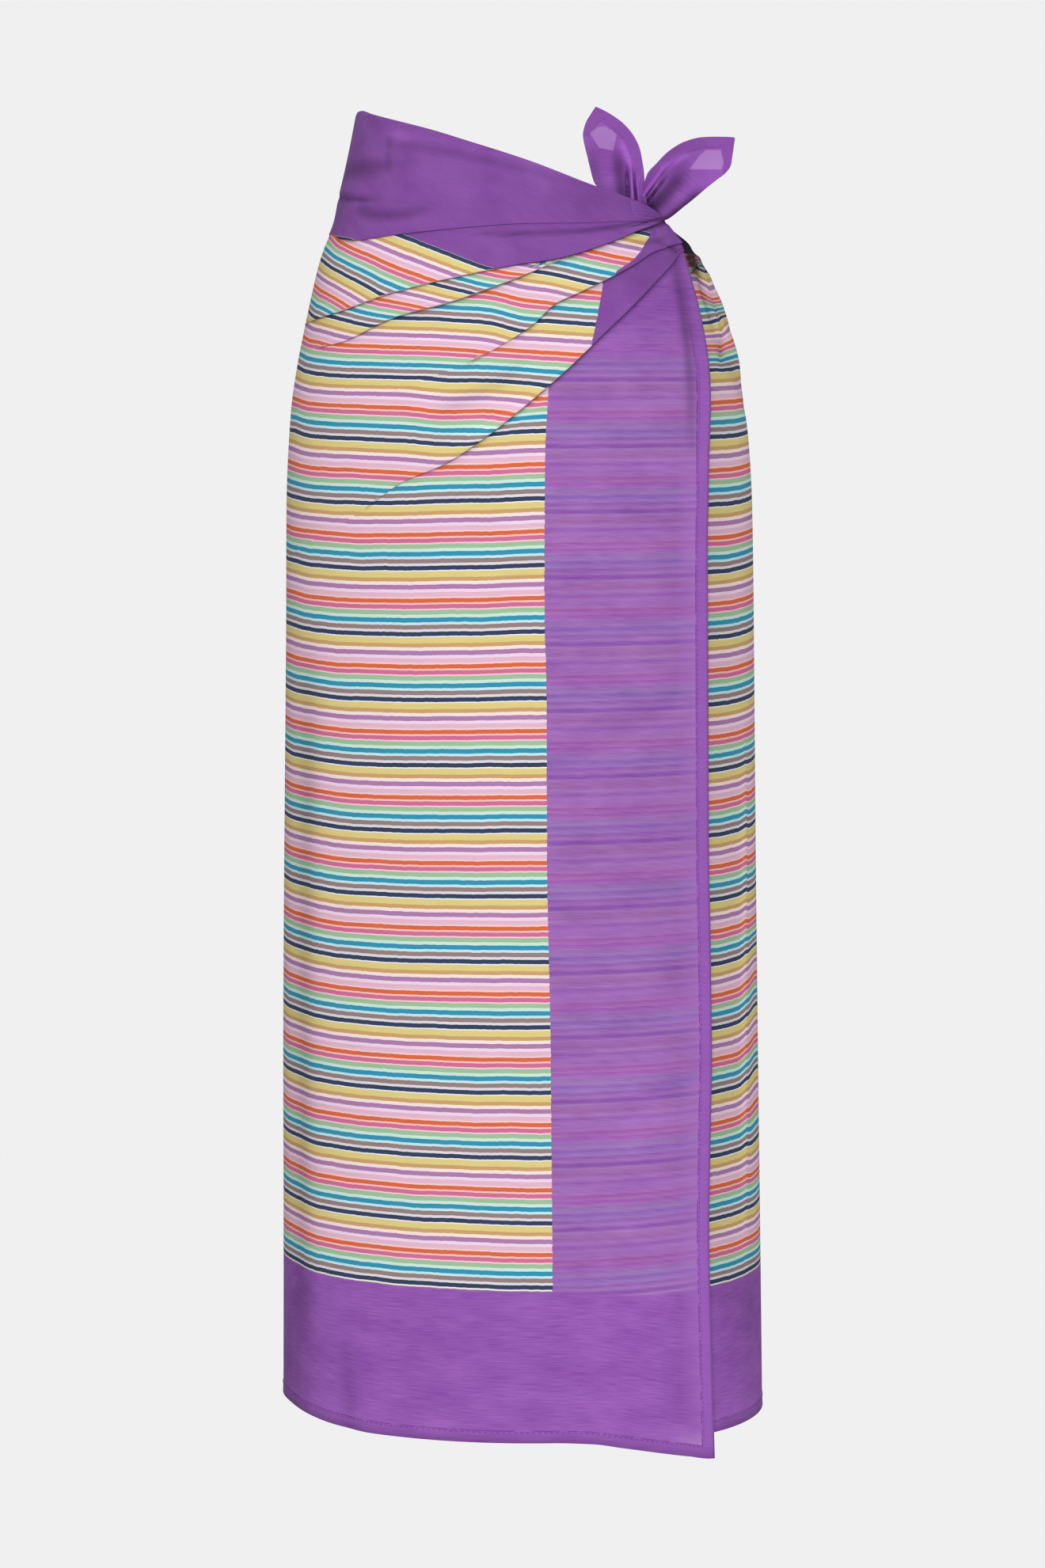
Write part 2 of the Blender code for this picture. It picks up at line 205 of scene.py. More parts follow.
# Edges that run up and down: the height in millimetres and the angle in degrees
Edge = namedtuple("Edge", "height angle")
FREE_EDGE = table(
    Edge,
    (-20, 50.5), (-28, 51.4), (-47, 57), (-90, 57.2), (-121, 56.8), (-139, 56.4), (-164, 55.2),
    (-190, 53.7), (-224, 52), (-285, 50.8), (-380, 50.6), (-528, 50.4), (-577, 50.7), (-675, 50.8),
    (-723, 50.2), (-772, 49.5), (-820, 49), (-907, 49.5), (-1005, 50.3),
)
UNDER_EDGE = table(Edge, (-60, -368), (-200, -385), (-500, -402), (-976, -410))
# Where the striped field starts beside the plain border, in each region from the rim down
FIELD_STARTS = (
    None, None, None,
    table(Edge, (-37, 44.3), (-41, 43), (-52, 38.2), (-60, 33.8), (-68, 28)),
    table(Edge, (-76, 24.3), (-104, 20.8), (-122, 18.5)),
    table(
        Edge,
        (-152, 7.4), (-222, 6.1), (-330, 5.8), (-385, 6.2), (-530, 6.3), (-580, 6.6), (-680, 7),
        (-852, 7),
    ),
    table(Edge, (-852, 7)),
)

# The cut, as heights above its foot and distances from its free edge. A level cloth's foot hangs
# LEVEL_ZERO millimetres below the waist.
LEVEL_ZERO = 972.0
BORDER = 122 * MM
FIELD_LOW = 118.2 * MM
FIELD_HIGH = 989.0 * MM
FIRST_NAVY = 121.4 * MM
REPEAT = 50.93 * MM
# How far the layer below is ahead of a level cloth, by height, in millimetres
Under = namedtuple("Under", "height slip")
UNDER_SLIPS = table(Under, (-190, 13), (-300, 10.8), (-500, 10.8), (-690, 8), (-800, 6.1))
METRES_PER_DEGREE = 0.0028

# Soft ridges and troughs round the figure, in degrees and millimetres: they run from near to far and
# sag by bend, rise out of the cloth or sink into it, and pull the stripes down
Crease = namedtuple(
    "Crease", "near_angle near_height far_angle far_height bend width rise pull", defaults=[0]
)
CREASES = table(
    Crease,
    # the band's wrinkles over the wearer's right hip
    (-96, -7.2, -42, -12.5, 1.2, 1.9, -2.5), (-84, -2, -46, -5, -1, 5, 1.4),
    (-62, -17, -22, -17, 8, 4.2, -2.4), (-58, -28, -26, -27, 3, 4.5, 1), (-90, 8, -34, 13, -1, 7, -1.8),
    (-80, 20, -36, 20, -2, 6, 0.8), (-56, 31, 27, -8, -6, 2.6, -0.8), (-58, 41, 40, -10, -7, 4, 1.3),
    # the pull of the knot
    (-20, -38, 56, -23, 7, 1.6, -2.4), (33, -41, 60, -24, 0, 1.4, -2.2), (54, -40, 30, -47, 2, 2.2, -1.4),
    (57, -53, 43, -43, 0, 1.8, -1.8), (14, -143, -20, -203, 8, 7, 1.4, 1.5),
    (4, -133, -24, -178, 6, 7, -1),
    # the band round the back
    (-96, -6, -138, -14, 4, 5, -1.8), (-104, 22, -160, 2, 6, 6, -1.5), (-150, -22, -205, -44, 5, 5, -1.7),
    (-186, -12, -232, -48, 4, 5, 1.5), (-300, -44, -236, -64, 5, 4, -1.6),
    (-302, -40, -262, -52, 3, 3, 1.2),
    # gathers running back from the knot over the wearer's left hip
    (-303, -60, -246, -100, 6, 8, 1.2), (-303, -74, -246, -130, 8, 8, -1.1),
    (-303, -90, -248, -164, 8, 10, 1.2), (-303, -108, -250, -204, 8, 11, -1, 1),
    (-294, -84, -266, -90, 0, 10, -0.3, 6),
)
# Soft folds that hang down: the angle at top and foot, the two heights, the width in degrees
Drape = namedtuple("Drape", "top_angle foot_angle top foot width rise pull", defaults=[0])
DRAPES = table(
    Drape,
    (53.8, 45, -26, -240, 2.8, -2.3), (46.5, 45.5, -70, -330, 2.2, 0.8), (-48.5, -46, 40, 4, 2, -1.2),
    (-292.5, -296, -40, -128, 2, -2, 1), (-286, -296, -88, -150, 2, -1.2, 2),
    (-300, -300, -300, -900, 30, 0, 2.3), (-289, -293, -400, -900, 2, 1.4, -2.5),
    (-281, -281, -570, -770, 9, 0, -7), (-68, -74, -830, -1020, 11, -1.2), (-46, -43, -895, -1010, 3, -1),
    (-34, -38, -880, -1010, 5, 0.8), (-62, -66, -300, -1010, 6, -1.6), (30, 26, -600, -1020, 9, 0.9),
    (-104, -112, -240, -1010, 6, 2.2), (-128, -124, -380, -1010, 5, -2),
    (-152, -158, -180, -1010, 7, 2.4), (-181, -176, -460, -1010, 5.5, -2.2),
    (-204, -212, -220, -1010, 6.5, 2.4), (-233, -229, -330, -1010, 5, -2),
    (-262, -255, -260, -1010, 6, 2),
)

# Soft hollows and swellings of the cloth, and where it catches the light or lies in shade
Swell = namedtuple("Swell", "angle height wide high rise light", defaults=[0])
SWELLS = table(
    Swell,
    (-80, -30, 20, 15, -2.6), (-85, -92, 26, 60, -1), (-270, -76, 28, 24, -4.5), (-270, -59, 17, 8, -5.2),
    (-270, -150, 22, 22, -1.4), (-45, 37, 5.5, 3.4, 0.3, 0.28), (-39, 33.5, 4, 2.4, 0.2, 0.2),
    (-24, -2, 14, 9, 0.3, 0.05), (-8, -8, 9, 5, 0.3, 0.06), (28, -14, 24, 14, 0, -0.13),
    (44, -88, 15, 44, 0, -0.15), (-66, 2, 14, 22, 0, -0.12), (-84, -500, 17, 800, 0, -0.13),
    (-88, -920, 12, 110, 0, -0.1), (40, -880, 26, 220, 0, 0.07), (-292, -884, 12, 34, 0, -0.2),
    (-296.5, -61, 3.2, 9, -0.8, -0.85), (-284, -59, 8, 5, 0, -0.3),
)

# The corners beyond the knot, each folded in two: rows from the root to the tip, in millimetres,
# seen from the front, with the folded side first. From row hemmed_from the first side is a hemmed
# edge too. The patch is where the cloth lies single, and forward is how far an ear leans out.
EarRow = namedtuple("EarRow", "fold_x fold_z hem_x hem_z")
Pleat = namedtuple("Pleat", "x z far_x far_z width rise")
Ear = namedtuple("Ear", "node rows hemmed_from patch pleats forward")
INNER_EAR = Ear(
    "inner_ear",
    table(
        EarRow,
        (90, -18, 97.5, -16), (72, -11, 96.5, -8), (57.2, -0.6, 95.8, 2), (53.9, 10, 95.4, 8),
        (51.5, 19.8, 94.6, 13.8), (49.4, 28, 92.2, 25.8), (48.1, 36, 88.1, 34.8), (49.9, 44.4, 79.6, 45),
        (54.2, 52, 66.8, 53.6), (57.8, 57.4, 58.6, 57.4),
    ),
    7,
    ((53.4, 37.6), (59, 42), (65, 42.6), (70.4, 40.2), (74.2, 36.4), (71.6, 24.6), (60.5, 27)),
    table(
        Pleat,
        (86.8, -14, 84.6, 20, 1.3, 2.6), (91.6, -14, 89.6, 6, 1, 2.2), (83.6, -14, 81.4, 17, 1.2, -3.4),
        (89.4, -14, 87.2, 12, 0.9, -3), (79.5, -12, 74, 30, 4.6, -3), (84, 12, 76, 34, 3.6, 2),
        (60, -6, 54, 28, 7, -1.2),
    ),
    0.0,
)
OUTER_EAR = Ear(
    "outer_ear",
    table(
        EarRow,
        (105.4, -24.2, 94.2, -16.8), (111.8, -27.9, 94.8, -5.7), (127.3, -16.9, 97.9, 6.7),
        (135.9, -10, 104.9, 14.9), (144.5, -2.7, 115, 24.9), (152.3, 3.4, 127.1, 32.1),
        (159.4, 9, 140, 35.7), (163.1, 14.5, 149.3, 36.3), (164.6, 23.4, 158.5, 36.4),
        (166.3, 35.2, 165.6, 36.1),
    ),
    7,
    ((138.6, 21.8), (144, 26.4), (155, 26), (157.6, 17), (156, 11.4), (131, 11.4), (135.4, 17.4)),
    table(
        Pleat,
        (92.6, -13.5, 112.6, 14, 1.2, 2.8), (95.4, -14.5, 109, 2.8, 1, 2.2),
        (97, -14.5, 114.6, 6.4, 1.3, -3.8), (94, -14, 105.4, 1.6, 0.8, -2.8),
        (101, -21, 133, 14, 6, -3.6), (111, 11, 134, 24, 3.4, 1.8), (110, -26, 156, 8, 4.5, 0.8),
    ),
    4.0,
)
# Where the ears stand and how they turn back, cup, round over at the fold, and dive at the root
EAR_PLACE = (96.0, -73.6)
EAR_SLOPE = 0.38
EAR_CUP = 7.0
CUP_START = 0.25
EAR_GAP = 4.0
EAR_FOLD_ROUND = 0.16
EAR_DIVE = 2.2
EAR_DIVE_UNTIL = 0.22
EAR_ROWS = 72
LINE_STEP = 0.25
EAR_FRONT_COLUMNS = 56
EAR_BACK_COLUMNS = 18
CLOSER_BEHIND = 1.5
CLOSER_IN_FRONT = 1.1
REAR_SHARE = 0.9
EAR_LENGTH = 85 * MM
EAR_HEM = 8.5 * MM
# Their painted shade, for a millimetre of pleat (painted light on the ridges), at the root and under the
# fold of the ear that leans out, and its lightest and darkest values
EAR_PLEAT_SHADE = 0.2
ROOT_SHADE = 0.3
ROOT_UNTIL = 0.3
EAR_UNDERSIDE = 1.0
EAR_UNDER_REACH = 0.15
UNDER_UNTIL = 0.5
EAR_SHADES = (-0.3, 0.9)

# The knot: the band's end, rolled over the tie between these angles. The band sinks in under it.
KNOT_FROM = 38.5
KNOT_FULL = 46.0
KNOT_END = KNOT_ANGLE - 0.2
KNOT_DEPTH = 3.0
KNOT_THIN = 0.4
KNOT_SINK = 5.0
KNOT_SINK_RUN = 4
KNOT_RINGS = 34
KNOT_SIDES = 56
KNOT_GROOVES = (0.28, 0.5, 0.74)
KNOT_GROOVE_WIDTH = 0.07
KNOT_GROOVE_DEPTH = 0.9
KNOT_CUT = 130
# The cloth's rise onto it: its middle, the figure's radius there, how high and how far it goes, and
# the share that the layer at the hip has
KNOT_PLACE = (50, -28)
KNOT_RADIUS = 144.7
KNOT_RISE = 1.8
KNOT_REACH = 22.0
HIP_RISE_SHARE = 0.35

# Painted shade in the deep fold beside the knot, as turns back from the front and heights in millimetres,
# and the weaker painted shade below it
WEDGE_ANGLES = (262, 280)
WEDGE_HEIGHTS = (-55, -51.5)
WEDGE_LOW = -84
WEDGE_SHADE = 1.08
BELOW_WEDGE = 0.5
# The shade that the free edge casts on the layer below, in degrees, down to near the border
EDGE_SHADE = 0.26
EDGE_REACH = 14
EDGE_FADES = (-900, -840)

# Stitches along the hems, in millimetres; the side's run between two heights
STITCH_PITCH = 3.8
STITCH_INSET = 1.3
STITCH_LENGTH = 2.5
STITCH_WIDTH = 0.42
STITCH_RISE = 0.28
SIDE_STITCHES = (-136, -984)

# Stripes of one repeat, downwards from the middle of the navy one: millimetres and a colour
Stripe = namedtuple("Stripe", "width colour")
NAVY = (55, 66, 93)
STRIPES = table(
    Stripe,
    (1.5, NAVY), (0.9, (235, 235, 240)), (4, (226, 207, 134)), (2.5, (205, 164, 109)),
    (2.4, (252, 228, 224)), (3, (174, 127, 176)), (2.1, (245, 215, 235)), (3.1, (229, 186, 208)),
    (1.2, (250, 205, 205)), (2.8, (222, 106, 70)), (1.2, (250, 198, 192)), (2.8, (212, 111, 152)),
    (0.9, (242, 204, 216)), (3.1, (161, 195, 156)), (2.1, (206, 235, 224)), (3.1, (52, 149, 180)),
    (1.8, (200, 233, 241)), (2.8, (152, 129, 126)), (1.8, (224, 221, 230)), (1.5, NAVY),
)
PURPLE = (159, 99, 187)
DEEP_PURPLE = (134, 73, 164)
HEM_PURPLE = (163, 100, 194)
EAR_HEM_PURPLE = (137, 77, 165)
PALE_PURPLE = (185, 136, 206)
LIGHT_PURPLE = (184, 122, 212)
STITCH_PURPLE = (104, 50, 132)
# How strongly the layer below shows through the side border, and the heights on the cut where it
# and the side hem's own tone are half gone
GHOST_SHARE = 0.105
GHOST_TOP = 860 * MM
GHOST_FADES = 50 * MM
SIDE_HEM_TOP = 850 * MM
SIDE_HEM_FADES = 60 * MM
# Half the reach of the lighter strip inside a hem. Up to SIDE_REACH from the free edge a hem's tone
# shows in full, and elsewhere only a share of it.
BEYOND_HEM = 8 * MM
SIDE_REACH = 35 * MM
SIDE_FADES = 20 * MM
BOTTOM_SHARE = 0.4
# The pale single cloth at the free corner: from its hems to where it has faded out
TIP_ACROSS = (9.8 * MM, 36 * MM)
TIP_UP = (9.6 * MM, 23 * MM)
SINGLE_SHARE = 0.75
# Shade: of gathered cloth, in the knot's grooves and on its turned sides, how much light a shade of
# 1 takes, and the deepest
GATHERED_SHADE = 0.26
GROOVE_SHADE = 0.35
ROLL_SHADE = 0.4
SHADE_DEPTH = 0.88
DEEPEST = 1.07
# The second coordinate where no layer shows through
NO_LAYER = -1
COTTON = {"Roughness": 0.9, "Specular IOR Level": 0.15, "Sheen Weight": 0.03, "Sheen Roughness": 0.5}
BUMP_STRENGTH = 0.35
BUMP_HEIGHT = 0.12 * MM
# How softly a boundary between colours runs, and how far the threads' waviness moves one
CRISP = 0.1 * MM
SLOW_WAVE = 1.6 * MM
QUICK_WAVE = 0.7 * MM
RAGGED_SIDE = 1.6 * MM

# Noise, as blotches to a metre along the cloth and up it
SLOW = (28, 9)
QUICK = (260, 40)
WEFT = (90, 2600)
WARP = (2600, 110)
SLUBS = (45, 700)
STREAKS = (55, 1300)
UNEVEN = (26, 44)
FIELD_STREAKS = (40, 1100)
RAGGED = (60, 900)
PATCHY = (14, 60)
SEAM_GAPS = (160, 160)
# The slubs' share of the weave, and what is streaked and slowly uneven in the border's colour
SLUB_SHARE = 0.8
STREAKED = 0.7
UNEVEN_SHARE = 0.38

# A hem's width, its tone, the share of the lighter strip inside it and of the seam's shadow, and
# how strongly all three show
Hem = namedtuple("Hem", "width tint beyond seam strength")


def smooth(places, values, place):
    """A smooth curve through values at rising places, level past its ends and with no overshoot."""
    places = np.array(places, float)
    values = np.array(values, float)
    place = np.clip(place, places[0], places[-1])
    gaps = np.diff(places)
    slopes = np.diff(values) / gaps
    tangents = np.append(slopes, slopes[-1])
    product = slopes[:-1] * slopes[1:]
    total = np.where(product > 0, slopes[:-1] + slopes[1:], 1.0)
    tangents[1:-1] = np.where(product > 0, 2 * product / total, 0.0)
    i = np.clip(np.searchsorted(places, place, side="right") - 1, 0, len(gaps) - 1)
    t = (place - places[i]) / gaps[i]
    start = (1 + 2 * t) * (1 - t) ** 2 * values[i] + t * (1 - t) ** 2 * gaps[i] * tangents[i]
    end = t * t * (3 - 2 * t) * values[i + 1] + t * t * (t - 1) * gaps[i] * tangents[i + 1]
    return start + end


def column(rows, name, place):
    """The values of a named column of a table at places of its first column."""
    if len(rows) == 1:
        return np.full_like(np.asarray(place, float), getattr(rows[0], name))
    rising = sorted(rows)
    return smooth([row[0] for row in rising], [getattr(row, name) for row in rising], place)


def ease(low, high, value):
    """0 below low, 1 above high and a soft step between."""
    t = np.clip((value - low) / (high - low), 0, 1)
    return t * t * (3 - 2 * t)


def figure_points(angle, height, lift):
    """Points of the figure's skin at angles and heights in millimetres, lifted outwards, in metres."""
    sizes = {name: column(SECTIONS, name, height) for name in Section._fields[1:]}
    turn = np.radians(angle)
    depth = np.where(np.cos(turn) > 0, sizes["front"], sizes["back"])
    x = sizes["shift"] + (sizes["half_width"] + lift) * np.sin(turn)
    y = -(depth + lift) * np.cos(turn)
    return np.stack((x, y, height), axis=-1) * MM


def knot_lift(angle, height):
    """The cloth rises onto the knot, in millimetres."""
    turned = np.where(angle < -180, angle + 360, angle)
    distance = np.hypot(np.radians(turned - KNOT_PLACE[0]) * KNOT_RADIUS, height - KNOT_PLACE[1])
    share = np.where(angle > -180, 1.0, HIP_RISE_SHARE)
    return share * KNOT_RISE * np.exp(-((distance / KNOT_REACH) ** 2))


def crease_effects(angle, height):
    """What the soft ridges, troughs and swellings do: lift and pull in millimetres, and painted shade,
    which is painted light below 0.
    """
    lift = np.zeros_like(height)
    pull = np.zeros_like(height)
    shade = np.zeros_like(height)
    for fold in CREASES + DRAPES:
        if isinstance(fold, Crease):
            share = (angle - fold.near_angle) / (fold.far_angle - fold.near_angle)
            inside = np.clip(share, 0, 1)
            middle = fold.near_height + inside * (fold.far_height - fold.near_height)
            distance = height - middle + fold.bend * 4 * inside * (1 - inside)
        else:
            share = (height - fold.top) / (fold.foot - fold.top)
            inside = np.clip(share, 0, 1)
            distance = angle - fold.top_angle - inside * (fold.foot_angle - fold.top_angle)
        shape = np.exp(-((distance / fold.width) ** 2))
        shape *= ease(0, 0.25, inside) * (1 - ease(0.65, 1, inside))
        lift += fold.rise * shape
        pull += fold.pull * shape
        # Troughs get painted shade and ridges painted light, by how far they rise
        shade -= fold.rise * (CREASE_SHADE if fold.rise < 0 else RIDGE_LIGHT) * shape
    for swell in SWELLS:
        shape = ((angle - swell.angle) / swell.wide) ** 2 + ((height - swell.height) / swell.high) ** 2
        shape = np.exp(-shape)
        lift += swell.rise * shape
        shade -= swell.light * shape
    return lift, pull, shade


def line_height(number, angle):
    """The height of a line round the figure; under the front the lines keep below the hidden top."""
    height = column(LINES[number].spots, "height", angle)
    hidden = column(UNDER_TOP, "height", angle) - number * UNDER_LINE_STEP
    return np.where(angle < UNDER_TOP[0].angle, np.minimum(height, hidden), height)


def nominal_angles():
    """The columns of the cloth: close together at the front, wider round the back."""
    return np.concatenate(([KNOT_ANGLE], *(np.linspace(*run)[1:] for run in COLUMN_RUNS)))


def true_angles(nominal, height):
    """The nominal columns, moved so that the first and the last follow the cloth's own edges."""
    near = column(FREE_EDGE, "angle", height)
    far = column(UNDER_EDGE, "angle", height)
    angle = nominal + (near - KNOT_ANGLE) * ease(NEAR_FROM, KNOT_ANGLE, nominal)
    return angle + (far - UNDER_END) * (1 - ease(UNDER_END, FAR_FROM, nominal))


Row = namedtuple("Row", "region angle height lift cut shade")


def painted_fold_shade(angle, lip):
    """How much painted shade a fold gets: most at the knot, where the folds lie deep and tight, and a share
    of it far from the knot, where they are shallow.
    """
    near = np.maximum(ease(*FOLD_SHADE_GROWS, angle), ease(*HIP_FOLD_SHADE_GROWS, -angle))
    return np.minimum(1, lip / FULL_LIP) * (FAR_FOLD_SHADE_SHARE + (1 - FAR_FOLD_SHADE_SHARE) * near)


def region_row(region, share, nominal):
    """A row of a region, a share of the way from its top line to its foot line."""
    top_line, foot_line = LINES[region], LINES[region + 1]
    angle = nominal
    for _ in range(PASSES):
        top = line_height(region, angle)
        foot = line_height(region + 1, angle)
        top_lip = column(top_line.spots, "lip", angle)
        tuck = np.minimum(np.minimum(FOLD_TUCK, TUCK_FOR_LIP * top_lip), TUCK_SHARE * (top - foot))
        behind = tuck - ROW_STEP * (len(FOLD_TURNS) + 1) if region else 0
        height = top + (foot - top) * share + behind * (1 - share) ** 2
        angle = true_angles(nominal, height)
    high = column(top_line.slips, "below", angle)
    if not foot_line.slips:
        cut = (height - foot) / (top - foot) * (top + LEVEL_ZERO + high)
    else:
        low = column(foot_line.slips, "above", angle)
        cut = height + LEVEL_ZERO + high + (low - high) * share
    lip = column(foot_line.spots, "lip", angle) * ease(0, LIP_ROOM, top - foot)
    # Painted shade just below the fold above, fading downwards
    shade = FOLD_SHADE * painted_fold_shade(angle, top_lip) if region else 0 * angle
    shade = shade * np.exp(-np.maximum(0, top - height) / FOLD_SHADE_REACH)
    return Row(region, angle, height, lip * share * share, cut, shade)


def fold_rows(last):
    """The turned part of a fold: round under its lip and up behind it to where the next part starts."""
    line = LINES[last.region + 1]
    if max(spot.lip for spot in line.spots) == 0:
        return []
    below = column(line.slips, "below", last.angle)
    hidden = last.cut - (last.height + LEVEL_ZERO + below)
    tuck = np.minimum(FOLD_TUCK, TUCK_FOR_LIP * last.lift)
    # The turned rows inside the fold get painted shade
    dark = TURN_SHADE * painted_fold_shade(last.angle, last.lift)
    made = []
    for k, turn in enumerate(FOLD_TURNS):
        share = (k + 1) / (len(FOLD_TURNS) + 1)
        height = last.height + turn.rise * tuck - ROW_STEP * (k + 1)
        cut = last.cut - hidden * share
        made.append(Row(last.region, last.angle, height, last.lift * turn.out, cut, dark))
    return made


def cloth_rows():
    """Rows of the cloth from rim to hem."""
    nominal = nominal_angles()
    rows = []
    for region, steps in enumerate(ROWS_BETWEEN):
        for step in range(steps + 1):
            share = (step / steps) ** (ROWS_CLOSER_UP if region == SKIRT else 1)
            rows.append(region_row(region, share, nominal))
        rows += fold_rows(rows[-1])
    return rows


def sheet_mesh(name, points, cloth_uvs, shade_and_layer_uvs):
    """A mesh of quads on a grid of points: rows run down, columns towards the wearer's right."""
    height, width = points.shape[:2]
    index = np.arange(height * width).reshape(height, width)
    faces = np.stack((index[:-1, :-1], index[:-1, 1:], index[1:, 1:], index[1:, :-1]), axis=-1)
    faces = faces.reshape(-1, 4)
    mesh = bpy.data.meshes.new(name)
    mesh.from_pydata(points.reshape(-1, 3).tolist(), [], faces.tolist())
    # The "layers" coordinates carry the painted shade and the layer below
    for layer_name, values in (("cloth", cloth_uvs), ("layers", shade_and_layer_uvs)):
        layer = mesh.uv_layers.new(name=layer_name)
        layer.data.foreach_set("uv", values.reshape(-1, 2)[faces.ravel()].astype(np.float32).ravel())
    mesh.shade_smooth()
    return mesh


def add_piece(name, mesh, material, thickness, *nodes):
    """A piece of the skirt that rides on the part and stands for some of its solids."""
    piece = bpy.data.objects.new(name, mesh)
    collection.objects.link(piece)
    mesh.materials.append(material)
    if thickness:
        wall = piece.modifiers.new("thickness", "SOLIDIFY")
        wall.thickness = thickness
        wall.offset = -1
    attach(piece, "root")
    if nodes:
        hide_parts(*nodes)
    return piece


def distance_from_edge(region, angle, height):
    """How far from the cloth's free edge a point lies on the cut, in metres."""
    starts = FIELD_STARTS[region]
    near = column(FREE_EDGE, "angle", height)
    if starts is None:
        return 2 * BORDER + (near - angle) * METRES_PER_DEGREE
    field = column(starts, "angle", height)
    near, middle, far = (np.sin(np.radians(turn)) for turn in (near, angle, field))
    across = BORDER * ((near - middle) / (near - far))
    return np.where(angle > field, across, BORDER + (field - angle) * METRES_PER_DEGREE)


def resting_lift(angle, height):
    """How far the cloth lies out from the figure's skin, in millimetres, before lips and hems."""
    outer = LAYER / MM * ease(OUTER_GONE, OUTER_UNTIL, angle)
    return outer + knot_lift(angle, height) + crease_effects(angle, height)[0]


def hem_lift(edge, width):
    """How far a turned hem rises, in millimetres, by the distance from its edge."""
    return HEM_RISE / MM * (1 - ease(0.9, 1.1, edge / width))


def painted_wedge_and_edge_shade(row):
    """Painted shade in the deep fold beside the knot, where the band runs in under it, and the free edge's
    painted shadow: 0 to 1.
    """
    near = ease(*WEDGE_ANGLES, -row.angle)
    inside = ease(*WEDGE_HEIGHTS, row.height)
    under = BELOW_WEDGE * ease(WEDGE_LOW, WEDGE_HEIGHTS[1], row.height)
    edge = column(FREE_EDGE, "angle", row.height) - 360
    beside = EDGE_SHADE * np.exp(-(((row.angle - edge) / EDGE_REACH) ** 2))
    beside = beside * ease(*EDGE_FADES, row.height)
    return near * np.maximum(WEDGE_SHADE * inside, under) + beside


def build_cloth(material):
    """The whole wound cloth, from its free edge round to the layer hidden under the front."""
    places, cloth_uvs, shade_and_layer_uvs = [], [], []
    for row in cloth_rows():
        _, pull, crease_and_swell_shade = crease_effects(row.angle, row.height)
        cut = (row.cut + (pull if row.region < len(ROWS_BETWEEN) - 1 else 0)) * MM
        along = distance_from_edge(row.region, row.angle, row.height)
        lift = resting_lift(row.angle, row.height) + row.lift
        lift += hem_lift(np.minimum(along, cut), HEM_WIDTH)
        if row.region == BAND:
            top, foot = line_height(BAND, row.angle), line_height(BAND + 1, row.angle)
            down = np.clip((top - row.height) / (top - foot + ROW_STEP), 0, 1)
            sunk = ease(KNOT_FROM, KNOT_FROM + KNOT_SINK_RUN, row.angle) * (1 - down ** 8)
            lift -= KNOT_SINK * sunk
        places.append(figure_points(row.angle, row.height, lift))
        cloth_uvs.append(np.stack((along, cut), axis=-1))
        below = row.height + LEVEL_ZERO + column(UNDER_SLIPS, "slip", row.height)
        below = below * MM if row.region >= SKIRT else NO_LAYER + 0 * along
        # Painted shade of folds, creases, the deep fold by the knot and the free edge's shadow; below 0 it
        # is painted light
        shade = np.minimum(DEEPEST, row.shade + crease_and_swell_shade + painted_wedge_and_edge_shade(row))
        shade_and_layer_uvs.append(np.stack((shade, below), axis=-1))
    mesh = sheet_mesh("wound_cloth", np.array(places), np.array(cloth_uvs), np.array(shade_and_layer_uvs))
    nodes = [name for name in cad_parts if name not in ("knot", "inner_ear", "outer_ear")]
    return add_piece("wound_cloth", mesh, material, THICKNESS, *nodes)


def build_knot(material):
    """The tapering end of the band, rolled over the tie."""
    stations = np.linspace(KNOT_FROM, KNOT_END, KNOT_RINGS)
    turns = np.linspace(-math.pi / 2, 1.5 * math.pi, KNOT_SIDES + 1)
    angle, turn = np.meshgrid(stations, turns, indexing="ij")
    top, foot = line_height(BAND, angle), line_height(BAND + 1, angle)
    down = (1 - np.cos(turn)) / 2
    height = top + (foot - top) * down
    grow = ease(KNOT_FROM, KNOT_FULL, angle)
    depth = KNOT_THIN + KNOT_DEPTH * grow * (1 - 0.6 * ease(KNOT_FULL, KNOT_ANGLE, angle))
    lip = column(BAND_FOLD.spots, "lip", angle) * down ** 2 * ease(0, LIP_ROOM, top - foot)
    front = np.maximum(0, np.sin(turn))
    grooves = sum(np.exp(-(((down - at) / KNOT_GROOVE_WIDTH) ** 2)) for at in KNOT_GROOVES)
    groove = KNOT_GROOVE_DEPTH * grooves * front * grow
    lift = resting_lift(angle, height) + lip - depth * (1 - np.sin(turn)) - groove
    cut = height + LEVEL_ZERO + KNOT_CUT
    along = 2 * BORDER + (KNOT_ANGLE - angle) * METRES_PER_DEGREE
    uvs = np.stack((along, cut * MM), axis=-1)
    # Painted shade of the gathers, in the grooves and on the knot's turned sides
    shade = GATHERED_SHADE + GROOVE_SHADE * groove + ROLL_SHADE * (1 - front) ** 2
    layers = np.stack((shade, NO_LAYER + 0 * along), axis=-1)
    mesh = sheet_mesh("knot_cloth", figure_points(angle, height, lift), uvs, np.clip(layers, -1, 1))
    close_mesh(mesh)
    return add_piece("knot_cloth", mesh, material, 0, "knot")


def close_mesh(mesh):
    """Joins the long edges of a tube and fills its ends."""
    shape = bmesh.new()
    shape.from_mesh(mesh)
    bmesh.ops.remove_doubles(shape, verts=shape.verts, dist=0.01 * MM)
    bmesh.ops.holes_fill(shape, edges=shape.edges)
    bmesh.ops.recalc_face_normals(shape, faces=shape.faces)
    shape.to_mesh(mesh)
    shape.free()


